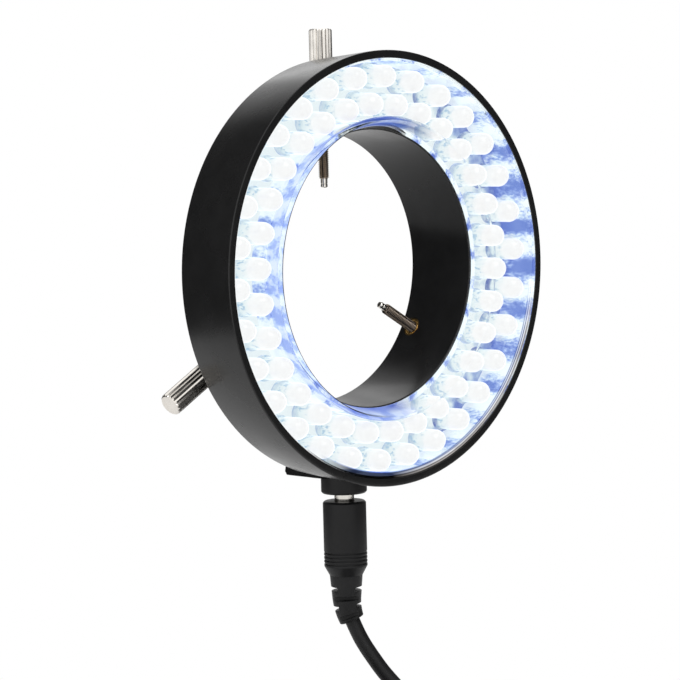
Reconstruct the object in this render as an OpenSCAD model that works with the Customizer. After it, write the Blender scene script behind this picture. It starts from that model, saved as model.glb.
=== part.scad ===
// Microscope ring light: a shallow black ring with two rows of LEDs behind a clear cover.
// Three thumbscrews in the rear collar clamp it round a microscope head.
// The origin is on the ring's axis, in the plane of the three screws.
// The LEDs face -Y, +Z is up, and the power socket and its cord point down.

/* [Ring housing] */
// Diameter of the bore that slips over the microscope head
bore_d = 62.6; // [56:0.1:70]
// Width of the lit band, from the bore to the outside of the front rim
band_w = 17.7; // [17.5:0.1:20]
// Depth of the main ring, from the front rim to its rear face
ring_depth = 17.8; // [16:0.1:20]
// How much smaller the outside diameter is at the rear face
ring_draft = 2.6; // [0:0.1:3.2]
// Thickness of the outer wall
ring_wall = 1.8; // [1.4:0.1:2.1]
// Thickness of the rear wall
rear_wall = 2; // [1.5:0.1:2.4]
// Wall of the tube round the bore
tube_wall = 2; // [1.6:0.1:2.3]
// Depth of the tube's front end behind the front rim
tube_front = 6.5; // [5.5:0.1:8]
// Thickness of the rear collar round the bore
collar_w = 8.2; // [7:0.1:8.4]
// Depth of the rear collar
collar_depth = 8; // [7.2:0.1:10]
// Chamfer on the rear edges
edge = 0.8; // [0.2:0.1:1.2]
// Chamfer on the rear mouth of the bore
bore_edge = 0.5; // [0.2:0.1:1]

/* [Clear cover] */
// Recess of the cover behind the front rim
cover_recess = 0.2; // [0:0.1:0.3]
// Thickness of the cover's front
cover_t = 0.8; // [0.6:0.1:0.8]
// Thickness of the cover's skirt
skirt_t = 1; // [0.7:0.1:1.2]
// How far the front of the skirt stands back from the bore's wall
skirt_flare = 1.9; // [1.4:0.1:2]
// How far the seated end of the skirt stands back from the bore's wall
skirt_step = 0.2; // [0.1:0.1:0.5]
// Width of the rib that carries the cover's outer edge
cover_rib = 0.5; // [0.3:0.1:0.8]
// Gap round the cover's outer edge
cover_fit = 0.1; // [0.05:0.05:0.3]

/* [LEDs and board] */
// LEDs in each row
led_count = 30; // [24:1:30]
// Body diameter of an LED
led_d = 5; // [4.8:0.1:5]
// Flange diameter of an LED
led_flange_d = 5.8; // [5.4:0.1:5.8]
// Flange height of an LED
led_flange_h = 1; // [0.8:0.1:1.2]
// Height of an LED above the board
led_h = 8.6; // [8:0.1:8.6]
// Gap between an inner LED's flange and the bore tube
led_inner_gap = 0.8; // [0.6:0.1:1]
// Gap between an outer LED's flange and the rim of the outer wall
led_outer_gap = 1.1; // [0.9:0.1:1.4]
// Diameter of a lead
lead_d = 0.5; // [0.4:0.05:0.6]
// Spacing of an LED's two leads
lead_pitch = 2.54; // [2.4:0.02:2.6]
// Length of the leads below an LED
lead_len = 2.8; // [2.2:0.1:2.8]
// Depth of the board's front face behind the front rim
board_depth = 9.8; // [9.8:0.1:10]
// Thickness of the board
board_t = 1.6; // [1.2:0.1:1.6]
// Gap round the board's edges
board_fit = 0.2; // [0.1:0.05:0.3]
// Width of the ledges that carry the board
ledge_w = 1.2; // [0.8:0.1:1.4]
// Resistors on the back of the board
resistor_count = 20; // [10:2:20]
// Length, width and height of a resistor
resistor_size = [3.2, 1.6, 0.55]; // [0.5:0.05:3.2]

/* [Thumbscrews] */
// Distance of the screw axes behind the main ring
screw_offset = 4.2; // [3.8:0.1:4.6]
// Diameter of a knob
knob_d = 5.3; // [4.6:0.1:6]
// Length of a knob
knob_len = 14; // [10:0.5:16]
// Flutes round a knob
knob_flutes = 18; // [12:1:20]
// Diameter of the flutes
flute_d = 0.7; // [0.5:0.05:0.8]
// Chamfer on the ends of a knob
knob_edge = 0.35; // [0.2:0.05:0.5]
// Thread diameter of a stud
stud_d = 2.5; // [2.4:0.1:2.6]
// Free length of a stud below its knob
stud_len = 20.25; // [18:0.25:22]
// Length of a stud inside its knob
stud_grip = 6; // [4:0.5:8]
// Diameter of a tip
tip_d = 1.6; // [1.4:0.1:1.7]
// Free length of a tip
tip_len = 2; // [1.5:0.1:2.5]
// Length of a tip inside its stud
tip_grip = 3; // [2:0.1:4]
// Gap between the upper knob and the collar
top_knob_gap = 1; // [0.2:0.1:3]
// Gap between each lower knob and the collar
side_knob_gap = 2; // [0.2:0.1:3]
// Outside diameter of a threaded insert
insert_d = 4.6; // [4.2:0.1:5]
// Recess of an insert at both faces of the collar
insert_recess = 0.2; // [0.1:0.05:0.4]

/* [Power socket] */
// Distance of the socket's axis behind the main ring
jack_offset = 0.2; // [0:0.1:0.6]
// Angle that the socket's block spans round the ring
block_span = 27; // [24:1:60]
// Distance of the block's outer face inside the front rim's radius
block_step = 0.5; // [0.3:0.1:0.8]
// Diameter of the socket's body
jack_d = 8.4; // [8:0.1:8.6]
// Length of the socket's body behind its boss
jack_len = 8.8; // [8.4:0.1:9.2]
// Diameter of the socket's boss
boss_d = 10.6; // [9.8:0.1:11]
// Height of the boss below the block
boss_h = 3.5; // [3:0.1:4]
// Chamfer on the boss
boss_edge = 0.4; // [0.2:0.1:0.6]
// Diameter of the hole for the plug
jack_hole_d = 6.2; // [6.1:0.1:6.4]
// Depth of the hole for the plug
jack_hole_depth = 9.8; // [9.7:0.1:10.2]
// Diameter of the centre pin
pin_d = 2; // [1.8:0.05:2]
// Length of the centre pin
pin_len = 8; // [7:0.1:8.5]
// Thickness of the sleeve contact
contact_t = 0.3; // [0.2:0.05:0.35]
// Width of the sleeve contact
contact_w = 1.6; // [1.2:0.1:1.8]
// Width of a solder tab
tab_w = 1.2; // [1:0.1:1.4]
// Thickness of a solder tab
tab_t = 0.4; // [0.3:0.05:0.4]
// Diameter of the inner wires
wire_d = 1.1; // [0.8:0.1:1.2]

/* [Plug and cord] */
// Gap between the socket and the plug as it stands
plug_gap = 1.8; // [1:0.1:4]
// Diameter of the plug's sleeve
barrel_d = 5.5; // [5.4:0.05:5.5]
// Wall of the plug's sleeve
barrel_wall = 0.8; // [0.6:0.05:0.9]
// Free length of the plug's sleeve
barrel_len = 9.5; // [9:0.1:9.5]
// Length of the narrower neck at the root of the sleeve
barrel_neck = 2.2; // [1.8:0.1:2.6]
// Length of the sleeve inside the plug's body
barrel_grip = 4; // [3:0.5:6]
// Diameter of the sleeve's neck and of its length inside the plug's body
barrel_grip_d = 4.6; // [4.4:0.1:4.8]
// Wall of the plug's inner contact
inner_contact_wall = 0.18; // [0.15:0.01:0.25]
// Diameter of the plug's body
plug_d = 10; // [9.2:0.1:10.4]
// Length of the plug's straight body
plug_len = 15.1; // [13:0.1:16]
// Length of the plug's tapered end
taper_len = 2.2; // [1.5:0.1:3]
// Grip grooves round the plug
groove_count = 4; // [2:1:6]
// Spacing of the grip grooves
groove_pitch = 0.85; // [0.7:0.05:1]
// Width of a grip groove
groove_w = 0.35; // [0.25:0.05:0.45]
// Depth of a grip groove
groove_depth = 0.25; // [0.1:0.05:0.4]
// Diameter of the strain relief where it leaves the plug
relief_d = 7.6; // [7:0.1:8]
// Diameter of the strain relief where the cord leaves it
relief_end_d = 5.8; // [5.4:0.1:6.4]
// Length of the strain relief
relief_len = 10.6; // [9.6:0.1:12]
// Width of a slot in the strain relief
slot_w = 0.85; // [0.6:0.05:1]
// Spacing of the slots along the strain relief
slot_pitch = 2.1; // [1.9:0.1:2.2]
// Diameter of the cord
cord_d = 3.5; // [3.2:0.1:3.6]
// Turns in the coil
coil_turns = 9.75; // [7.75:1:9.75]
// Diameter of the coil at the middle of its turns
coil_d = 37.2; // [36:0.2:40]
// Spacing of the coil's turns and layers
coil_pitch = 4; // [4:0.1:4.4]
// Thickness of the strap round the coil
tie_t = 1; // [0.8:0.1:1.4]
// Width of the strap round the coil
tie_w = 8; // [6:0.5:10]

/* [Hidden] */
$fn = 64;
ring_fn = 180;
small_fn = 24;
tube_sides = 8;
coil_sides = 6;
over = 1;
bore_r = bore_d / 2;
ring_r = bore_r + band_w;
tube_r = bore_r + tube_wall;
collar_r = bore_r + collar_w;
total_depth = ring_depth + collar_depth;
screw_depth = ring_depth + screw_offset;

function outer_r(depth) = ring_r - ring_draft / 2 * depth / ring_depth;
function inner_r(depth) = outer_r(depth) - ring_wall;

// Cover, board and LED rows
cover_back = cover_recess + cover_t;
rib_depth = 1;
rib_r = inner_r(cover_back) - cover_rib;
board_back = board_depth + board_t;
board_inner_r = tube_r + board_fit;
board_outer_r = inner_r(board_back) - board_fit;
ledge_r = inner_r(board_back) - ledge_w;
row_inner_r = tube_r + led_inner_gap + led_flange_d / 2;
row_outer_r = ring_r - ring_wall - led_outer_gap - led_flange_d / 2;
row_middle_r = (row_inner_r + row_outer_r) / 2;
led_pitch = 360 / led_count;
row_inner_phase = -led_pitch / 4;
row_outer_phase = led_pitch / 4;
lead_fit = 0.2;
lead_hole_d = lead_d + 2 * lead_fit;

// Thumbscrews: upper, left and right
screw_angles = [90, 210, 330];
knob_gaps = [top_knob_gap, side_knob_gap, side_knob_gap];
run_fit = 0.05;
press_fit = 0.02;
tip_end_gap = 0.2;
tip_edge = 0.2;

// Power socket: radii are measured down from the ring's axis
down = 270;
jack_depth = ring_depth + jack_offset;
jack_y = jack_depth - screw_depth;
block_r = ring_r - block_step;
boss_seat = 0.05;
boss_top_r = outer_r(ring_depth) - boss_seat;
boss_end_r = block_r + boss_h;
jack_back_r = boss_top_r - jack_len;
jack_hole_r = boss_end_r - jack_hole_depth;
jack_fit = 0.1;
pocket_end_r = jack_back_r - tab_t - jack_fit;
pin_tail_d = 1.2;
pin_end_r = jack_hole_r + pin_len;
contact_gap = 0.1;
contact_x = barrel_d / 2 + contact_gap;
contact_end_r = pin_end_r;
contact_slot = contact_end_r + jack_fit - jack_back_r + over;
wire_gap = 0.1;
cavity = ring_depth - rear_wall - board_back;
wire_depth = board_back + cavity / 2;
wire_room = (cavity - wire_d) / 2 - wire_gap;
tab_front = jack_depth - wire_depth + wire_d / 2 + wire_gap;
tab_root = contact_w / 2;
tab_shift = 0.2;
contact_tab_x = contact_x + contact_t / 2 - tab_shift;
pad_angle = 9;
wire_rise = 0.8;
wire_bow = 0.5;
wire_sag = 0.3;
wire_side = [0.3, 1, 0.5];

// Plug: its own lengths are measured from its front face, away from the socket
plug_face_r = boss_end_r + plug_gap;
inner_contact_r = pin_d / 2 + run_fit + inner_contact_wall;
contact_recess = 0.6;
insulator_recess = 0.2;
plug_edge = 0.4;
relief_start = plug_len + taper_len;
relief_straight = 5;
relief_bend = 22;
relief_rings = 12;
relief_slots = 4;
slot_first = 3.1;
relief_skin = 0.3;
relief_core_r = cord_d / 2 + relief_skin;

// Cord: it leaves the plug towards the heading, and lies on the floor in a coil
lead_heading = -43.5;
heading = [cos(lead_heading), sin(lead_heading), 0];
across = [sin(lead_heading), -cos(lead_heading), 0];
cord_gap = 0.3;
lead_drop = 20.9;
coil_layers = 4;
layer_turns = coil_turns / coil_layers;
coil_outer_r = coil_d / 2 + coil_pitch * layer_turns / 2;
coil_inner_r = coil_d / 2 - coil_pitch * layer_turns / 2;
coil_rings = 24;
tail_len = 16;
tail_rise = 0.3;
tail_bends = [0.3, 0.7];
tie_angle = 215;

// Points of the cord from the relief to the coil: along the heading, across it, and down from the relief
lead_route = [
    [3.2, 0, 4.85],
    [6.0, 0, 9.45],
    [8.7, 0, 13.25],
    [12.6, 0.3, 17.55],
    [15.7, 1.1, 19.45],
    [18.5, 2.4, 20.55],
    [21.1, 4.2, 20.85]
];

// Middle of the coil: along the heading and across it
coil_at = [8, 24.3];
coil_heading = [0, -1, 0];
tail_heading = [1, 0, 0];

// Frame with its Z along the ring's axis, as depth behind the front rim
module from_rim() {
    translate([0, -screw_depth, 0]) rotate([-90, 0, 0]) children();
}

// Place at an angle round the ring, seen from the LED side, at a distance from its axis
module at_angle(angle, radius) {
    rotate([0, 0, -angle]) translate([radius, 0, 0]) children();
}

// Frame of a thumbscrew with its Z pointing out from the ring's axis
module screw_frame(i) {
    rotate([0, -screw_angles[i], 0]) rotate([0, 90, 0]) children();
}

// Frame of the socket with its Z pointing down from the ring's axis and its Y to the front
module socket_frame() {
    translate([0, jack_y, 0]) rotate([180, 0, 0]) children();
}

// Frame of the plug in the socket, turned so that its X is the heading of the cord
module plug_frame() {
    socket_frame() translate([0, 0, plug_face_r]) rotate([0, 0, -lead_heading]) children();
}

// Frame of the plug at the far end of the cord, lying on the floor
module far_frame() {
    translate(far_face) rotate([0, -90, 0]) children();
}

// Tube along a path of points, with a radius at each point and its direction at both ends
function unit(v) = v / norm(v);
function path_tangents(path, first, last) = concat(
    [unit(first)],
    [for (i = [1:len(path) - 2]) unit(path[i + 1] - path[i - 1])],
    [unit(last)]
);
function path_ring(centre, tangent, side, radius, sides) =
    let (a = unit(cross(side, tangent)), b = cross(tangent, a))
    [for (k = [0:sides - 1]) centre + radius * (cos(360 * k / sides) * a + sin(360 * k / sides) * b)];

module path_tube(path, radii, side, sides, first, last) {
    count = len(path);
    tangents = path_tangents(path, first, last);
    rings = [for (i = [0:count - 1]) path_ring(path[i], tangents[i], side, radii[i], sides)];
    points = [for (ring = rings) each ring];
    walls = [
        for (i = [0:count - 2], k = [0:sides - 1])
        let (a = i * sides + k, b = i * sides + (k + 1) % sides)
        each [[a, a + sides, b], [b, a + sides, b + sides]]
    ];
    end = (count - 1) * sides;
    front = [for (k = [1:sides - 2]) [0, k, k + 1]];
    back = [for (k = [1:sides - 2]) [end, end + k + 1, end + k]];
    polyhedron(points, concat(walls, front, back));
}

function same_radius(path, radius) = [for (p = path) radius];

// Centre line of a strain relief: offset and length from its start, after a bend
function relief_angle(s, bend) = bend * max(0, s - relief_straight) / (relief_len - relief_straight);
function relief_point(s, bend) =
    s <= relief_straight || bend == 0
        ? [0, 0, s]
        : let (r = (relief_len - relief_straight) / bend * 180 / PI, a = relief_angle(s, bend))
          [r * (1 - cos(a)), 0, relief_straight + r * sin(a)];

// Route of the cord from the relief to the coil
function cord_place(along, aside, z) = [0, jack_y, z] + heading * along + across * aside;
relief_tip = relief_point(relief_len, relief_bend);
lead_z = -plug_face_r - relief_start - relief_tip[2];
lead_out = heading * sin(relief_bend) - [0, 0, cos(relief_bend)];
coil_top_z = lead_z - lead_drop;
coil_low_z = coil_top_z - (coil_layers - 1) * coil_pitch;
floor_z = coil_low_z - cord_d / 2 - cord_gap - tie_t;
coil_middle = cord_place(coil_at[0], coil_at[1], 0);
coil_entry = [coil_middle[0] + coil_outer_r, coil_middle[1], coil_top_z];
lead_path = concat(
    [cord_place(relief_tip[0], 0, lead_z)],
    [for (p = lead_route) cord_place(p[0], p[1], lead_z - p[2])],
    [coil_entry - coil_heading * cord_d]
);

// Coil: it spirals in and out at a steady rate, and goes down a layer where the spiral turns back
function zigzag(s) = let (t = s % 2) t < 1 ? t : 2 - t;
function coil_radius(turn) = coil_outer_r - (coil_outer_r - coil_inner_r) * zigzag(turn / layer_turns);
function ease(t) = let (u = min(1, max(0, t))) u * u * (3 - 2 * u);
function layer_drop(turn, i) = ease((turn - i * layer_turns) * 2 + 0.5);
function coil_drop(turn) = layer_drop(turn, 1) + layer_drop(turn, 2) + layer_drop(turn, 3);
function coil_point(turn) =
    let (a = -360 * turn, r = coil_radius(turn))
    [coil_middle[0] + r * cos(a), coil_middle[1] + r * sin(a), coil_top_z - coil_pitch * coil_drop(turn)];
coil_steps = coil_turns * coil_rings;
coil_loops = [for (i = [0:coil_steps]) coil_point(i / coil_rings)];
coil_end = coil_loops[coil_steps];
coil_path = concat(
    [coil_entry - coil_heading * cord_d],
    coil_loops,
    [coil_end + tail_heading * cord_d]
);

// The least gap between turns is measured between points more than a third of a turn apart
coil_apart = coil_rings / 3;
coil_gap = min([
    for (i = [0:len(coil_loops) - 1], j = [i + coil_apart:1:len(coil_loops) - 1])
    norm(coil_loops[i] - coil_loops[j])
]) - cord_d;
echo(coil_least_gap = coil_gap);

// Free end of the cord: straight to the far plug, which lies on the floor
far_axis_z = floor_z + plug_d / 2;
tail_start = coil_path[len(coil_path) - 1];
tail_path = [
    tail_start,
    tail_start + tail_heading * tail_len * tail_bends[0] + [0, 0, tail_rise],
    tail_start + tail_heading * tail_len * tail_bends[1] + [0, 0, far_axis_z - tail_start[2] - tail_rise],
    [
        tail_start[0] + tail_heading[0] * tail_len,
        tail_start[1] + tail_heading[1] * tail_len,
        far_axis_z
    ]
];
far_face = tail_path[3] + tail_heading * (relief_start + relief_len);
function path_length(path) = len(path) < 2 ? 0 : norm(path[1] - path[0]) + path_length(
    [for (i = [1:len(path) - 1]) path[i]]
);
echo(cord_length = path_length(lead_path) + path_length(coil_path) + path_length(tail_path));

// Ring
housing_profile = [
    [inner_r(0), 0],
    [outer_r(0), 0],
    [outer_r(ring_depth - edge), ring_depth - edge],
    [outer_r(ring_depth) - edge, ring_depth],
    [collar_r, ring_depth],
    [collar_r, total_depth - edge],
    [collar_r - edge, total_depth],
    [bore_r + bore_edge, total_depth],
    [bore_r, total_depth - bore_edge],
    [bore_r, tube_front],
    [tube_r, tube_front],
    [tube_r, board_back],
    [tube_r + ledge_w, board_back],
    [tube_r + ledge_w, ring_depth - rear_wall],
    [ledge_r, ring_depth - rear_wall],
    [ledge_r, board_back],
    [inner_r(board_back), board_back],
    [inner_r(cover_back + rib_depth), cover_back + rib_depth],
    [rib_r, cover_back + rib_depth],
    [rib_r, cover_back],
    [inner_r(cover_back), cover_back]
];

block_profile = [
    [collar_r - edge, ring_depth - edge],
    [boss_top_r - edge, ring_depth - edge],
    [boss_top_r - edge, ring_depth],
    [block_r, ring_depth],
    [block_r, total_depth - edge],
    [block_r - edge, total_depth],
    [collar_r - edge - over, total_depth],
    [collar_r - edge - over, ring_depth]
];

module housing() {
    color("#1c1c1d") difference() {
        union() {
            from_rim() rotate_extrude($fn = ring_fn) polygon(housing_profile);
            from_rim() rotate([0, 0, 360 - down - block_span / 2])
                rotate_extrude(angle = block_span, $fn = ring_fn) polygon(block_profile);
        }
        for (i = [0:2]) {
            screw_frame(i) translate([0, 0, bore_r - over])
                cylinder(d = insert_d + 2 * press_fit, h = collar_r - bore_r + 2 * over);
        }
        socket_frame() translate([0, 0, pocket_end_r])
            cylinder(d = jack_d + 2 * jack_fit, h = boss_end_r - pocket_end_r);
        socket_frame() translate([0, 0, boss_top_r])
            cylinder(d = boss_d + 2 * jack_fit, h = boss_end_r - boss_top_r);
    }
}

module clear_cover() {
    skirt_front = bore_r + skirt_flare;
    skirt_back = bore_r + skirt_step;
    cover_r = inner_r(cover_back) - cover_fit;
    color("#cfe4f5", 0.35) from_rim() rotate_extrude($fn = ring_fn) polygon([
        [skirt_front, cover_recess],
        [cover_r, cover_recess],
        [cover_r, cover_back],
        [skirt_front + skirt_t, cover_back],
        [skirt_back + skirt_t, tube_front],
        [skirt_back, tube_front]
    ]);
}

// LEDs, with their domes at the front and their leads through the board
module led() {
    cap_r = led_d / 2;
    base = board_depth;
    translate([0, 0, base - led_flange_h]) cylinder(d = led_flange_d, h = led_flange_h);
    translate([0, 0, base - led_h + cap_r]) cylinder(r = cap_r, h = led_h - cap_r);
    translate([0, 0, base - led_h + cap_r]) sphere(r = cap_r);
    for (side = [-1, 1]) {
        translate([0, side * lead_pitch / 2, base - led_flange_h / 2])
            cylinder(d = lead_d, h = lead_len + led_flange_h / 2, $fn = small_fn);
    }
}

module led_row(radius, phase) {
    for (i = [0:led_count - 1]) {
        from_rim() at_angle(phase + i * led_pitch, radius) union() led();
    }
}

module leds_inner() {
    color("#e6f4ff") led_row(row_inner_r, row_inner_phase);
}

module leds_outer() {
    color("#dcefff") led_row(row_outer_r, row_outer_phase);
}

module lead_holes(radius, phase) {
    for (i = [0:led_count - 1], side = [-1, 1]) {
        at_angle(phase + i * led_pitch, radius) translate([0, side * lead_pitch / 2])
            circle(d = lead_hole_d, $fn = small_fn);
    }
}

module led_board() {
    color("#5b7fd6") from_rim() translate([0, 0, board_depth]) linear_extrude(board_t) difference() {
        circle(r = board_outer_r, $fn = ring_fn);
        circle(r = board_inner_r, $fn = ring_fn);
        lead_holes(row_inner_r, row_inner_phase);
        lead_holes(row_outer_r, row_outer_phase);
    }
}

module board_resistors() {
    color("#20242c") for (i = [0:resistor_count - 1]) {
        from_rim() at_angle(down + i * 360 / resistor_count, row_middle_r)
            translate([-resistor_size[1] / 2, -resistor_size[0] / 2, board_back])
            cube([resistor_size[1], resistor_size[0], resistor_size[2]]);
    }
}

// Wires from the solder tabs to the back of the board, one on each side of the socket
module inner_wire(tab_x, side) {
    pad = [side * row_middle_r * sin(pad_angle), -row_middle_r * cos(pad_angle)];
    back_y = board_back - screw_depth;
    wire_y = wire_depth - screw_depth;
    tab_z = -jack_back_r + tab_t;
    bow_y = wire_y + wire_room * wire_sag;
    bow_z = tab_z + wire_d;
    path = [
        [tab_x, wire_y, tab_z],
        [tab_x, wire_y, tab_z + wire_d * wire_rise],
        [(2 * tab_x + pad[0]) / 3, bow_y, bow_z + wire_d * wire_bow],
        [(tab_x + 2 * pad[0]) / 3, bow_y, (bow_z + pad[1]) / 2 + wire_d * wire_bow],
        [pad[0], (back_y + wire_y) / 2 + wire_d * wire_bow / 2, pad[1]],
        [pad[0], back_y, pad[1]]
    ];
    path_tube(path, same_radius(path, wire_d / 2), wire_side, tube_sides, [0, 0, 1], [0, -1, 0]);
}

module wire_red() {
    color("#b3221c") inner_wire(0, -1);
}

module wire_black() {
    color("#151515") inner_wire(contact_tab_x, 1);
}

// Power socket
module jack_body() {
    color("#161617") socket_frame() difference() {
        rotate_extrude() polygon([
            [pin_tail_d / 2 + press_fit, jack_back_r],
            [jack_d / 2, jack_back_r],
            [jack_d / 2, boss_top_r],
            [boss_d / 2, boss_top_r],
            [boss_d / 2, boss_end_r - boss_edge],
            [boss_d / 2 - boss_edge, boss_end_r],
            [jack_hole_d / 2, boss_end_r],
            [jack_hole_d / 2, jack_hole_r],
            [pin_tail_d / 2 + press_fit, jack_hole_r]
        ]);
        translate([contact_x - jack_fit / 2, -contact_w / 2 - jack_fit, jack_back_r - over])
            cube([contact_t + jack_fit, contact_w + 2 * jack_fit, contact_slot]);
    }
}

module solder_tab(x) {
    translate([x - tab_w / 2, -tab_root, jack_back_r - tab_t]) cube([tab_w, tab_front + tab_root, tab_t]);
}

module jack_pin() {
    color("#d9c48a") socket_frame() {
        union() {
            translate([0, 0, jack_back_r - tab_t])
                cylinder(d = pin_tail_d, h = jack_hole_r - jack_back_r + tab_t);
            translate([0, 0, jack_hole_r]) cylinder(d = pin_d, h = pin_len - pin_d / 2);
            translate([0, 0, pin_end_r - pin_d / 2]) sphere(d = pin_d);
            solder_tab(0);
        }
    }
}

module jack_contact() {
    color("#c9c9cc") socket_frame() {
        union() {
            translate([contact_x, -contact_w / 2, jack_back_r - tab_t])
                cube([contact_t, contact_w, contact_end_r - jack_back_r + tab_t]);
            solder_tab(contact_tab_x);
        }
    }
}

// Threaded inserts and thumbscrews
module insert(i) {
    color("#b58a45") screw_frame(i) translate([0, 0, bore_r + insert_recess]) difference() {
        cylinder(d = insert_d, h = collar_r - bore_r - 2 * insert_recess);
        translate([0, 0, -over]) cylinder(d = stud_d + 2 * run_fit, h = collar_r - bore_r + 2 * over);
    }
}

function knob_base_r(i) = collar_r + knob_gaps[i];
function stud_end_r(i) = knob_base_r(i) - stud_len;

module knob(i) {
    knob_r = knob_d / 2;
    color("#cfcdc8") screw_frame(i) translate([0, 0, knob_base_r(i)]) difference() {
        rotate_extrude() polygon([
            [0, 0],
            [knob_r - knob_edge, 0],
            [knob_r, knob_edge],
            [knob_r, knob_len - knob_edge],
            [knob_r - knob_edge, knob_len],
            [0, knob_len]
        ]);
        translate([0, 0, -over]) cylinder(d = stud_d + 2 * press_fit, h = stud_grip + press_fit + over);
        for (k = [0:knob_flutes - 1]) {
            rotate([0, 0, 360 * k / knob_flutes]) translate([knob_r + flute_d / 6, 0, -over])
                cylinder(d = flute_d, h = knob_len + 2 * over, $fn = small_fn);
        }
    }
}

module stud(i) {
    color("#bdbcb8") screw_frame(i) translate([0, 0, stud_end_r(i)]) difference() {
        cylinder(d = stud_d, h = stud_len + stud_grip);
        translate([0, 0, -over]) cylinder(d = tip_d + 2 * run_fit, h = tip_grip + tip_end_gap + over);
    }
}

module tip(i) {
    color("#aeaca6") screw_frame(i) translate([0, 0, stud_end_r(i) - tip_len]) rotate_extrude() polygon([
        [0, 0],
        [tip_d / 2 - tip_edge, 0],
        [tip_d / 2, tip_edge],
        [tip_d / 2, tip_len + tip_grip],
        [0, tip_len + tip_grip]
    ]);
}

// Power plug: sleeve, insulator, inner contact, body and strain relief
module sleeve(outer_d, inner_d, from, to) {
    translate([0, 0, from]) difference() {
        cylinder(d = outer_d, h = to - from);
        translate([0, 0, -over]) cylinder(d = inner_d, h = to - from + 2 * over);
    }
}

module barrel() {
    bore = barrel_d - 2 * barrel_wall;
    color("#d4d0c6") {
        union() {
            sleeve(barrel_d, bore, -barrel_len, -barrel_neck);
            sleeve(barrel_grip_d, bore, -barrel_neck, barrel_grip);
        }
    }
}

module insulator() {
    color("#141414") sleeve(
        barrel_d - 2 * barrel_wall - 2 * press_fit, 2 * inner_contact_r + 2 * press_fit,
        -barrel_len + insulator_recess, barrel_grip
    );
}

module inner_contact() {
    color("#c8b27a")
        sleeve(2 * inner_contact_r, pin_d + 2 * run_fit, contact_recess - barrel_len, barrel_grip);
}

module moulded_body() {
    r = plug_d / 2;
    first_groove = plug_len - groove_count * groove_pitch;
    grooves = [
        for (i = [0:groove_count - 1])
        let (z = first_groove + i * groove_pitch)
        each [[r, z], [r - groove_depth, z], [r - groove_depth, z + groove_w], [r, z + groove_w]]
    ];
    color("#1a1a1b") rotate_extrude() polygon(concat(
        [[barrel_grip_d / 2 + press_fit, 0], [r - plug_edge, 0], [r, plug_edge]],
        grooves,
        [
            [r, plug_len],
            [relief_d / 2, relief_start],
            [0, relief_start],
            [0, barrel_grip + press_fit],
            [barrel_grip_d / 2 + press_fit, barrel_grip + press_fit]
        ]
    ));
}

module relief(bend) {
    path = [for (i = [0:relief_rings]) relief_point(relief_len * i / relief_rings, bend)];
    radii = [for (i = [0:relief_rings]) (relief_d + (relief_end_d - relief_d) * i / relief_rings) / 2];
    color("#19191a") translate([0, 0, relief_start]) difference() {
        path_tube(path, radii, [0, 1, 0], small_fn, [0, 0, 1], [sin(bend), 0, cos(bend)]);
        for (i = [0:relief_slots - 1], side = [0, 180]) {
            s = slot_first + i * slot_pitch;
            translate(relief_point(s, bend)) rotate([0, relief_angle(s, bend), 0])
                rotate([0, 0, side + 90 * (i % 2)])
                translate([relief_core_r, -relief_d, -slot_w / 2]) cube([relief_d, 2 * relief_d, slot_w]);
        }
    }
}

// Cord, its coil and the strap round the coil
module cord_lead() {
    radii = same_radius(lead_path, cord_d / 2);
    color("#1b1b1c") path_tube(lead_path, radii, across, tube_sides, lead_out, coil_heading);
}

module cord_coil() {
    radii = same_radius(coil_path, cord_d / 2);
    color("#1b1b1c") path_tube(coil_path, radii, [0, 0, 1], coil_sides, coil_heading, tail_heading);
}

module cord_tail() {
    radii = same_radius(tail_path, cord_d / 2);
    color("#1b1b1c") path_tube(tail_path, radii, [0, 0, 1], tube_sides, tail_heading, tail_heading);
}

module rounded_square(width, height, radius) {
    square([width - 2 * radius, height], center = true);
    square([width, height - 2 * radius], center = true);
    for (x = [-1, 1], y = [-1, 1]) {
        translate([x * (width / 2 - radius), y * (height / 2 - radius)]) circle(r = radius);
    }
}

module cord_tie() {
    bow = tie_w * tie_w / 8 / (coil_inner_r - cord_d / 2);
    inside_r = coil_inner_r - cord_d / 2 - bow - cord_gap;
    outside_r = coil_outer_r + cord_d / 2 + cord_gap;
    low_z = coil_low_z - cord_d / 2 - cord_gap;
    high_z = coil_top_z + cord_d / 2 + cord_gap;
    width = outside_r - inside_r;
    height = high_z - low_z;
    corner = cord_d / 4;
    color("#262627") translate([coil_middle[0], coil_middle[1], (low_z + high_z) / 2])
        rotate([0, 0, tie_angle]) translate([(inside_r + outside_r) / 2, tie_w / 2, 0]) rotate([90, 0, 0])
        linear_extrude(tie_w) difference() {
            rounded_square(width + 2 * tie_t, height + 2 * tie_t, corner + tie_t);
            rounded_square(width, height, corner);
        }
}

housing();
clear_cover();
led_board();
leds_inner();
leds_outer();
board_resistors();
wire_red();
wire_black();
jack_body();
jack_pin();
jack_contact();
insert(0);  // insert_top
insert(1);  // insert_left
insert(2);  // insert_right
knob(0);  // knob_top
knob(1);  // knob_left
knob(2);  // knob_right
stud(0);  // stud_top
stud(1);  // stud_left
stud(2);  // stud_right
tip(0);  // tip_top
tip(1);  // tip_left
tip(2);  // tip_right
plug_frame() barrel();  // plug_barrel
plug_frame() insulator();  // plug_insulator
plug_frame() inner_contact();  // plug_contact
plug_frame() moulded_body();  // plug_body
plug_frame() relief(relief_bend);  // plug_relief
cord_lead();
cord_coil();
cord_tie();
cord_tail();
far_frame() barrel();  // far_barrel
far_frame() insulator();  // far_insulator
far_frame() inner_contact();  // far_contact
far_frame() moulded_body();  // far_body
far_frame() relief(0);  // far_relief
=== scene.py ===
import math

import bmesh
import bpy
from mathutils import Matrix, Vector


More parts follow.
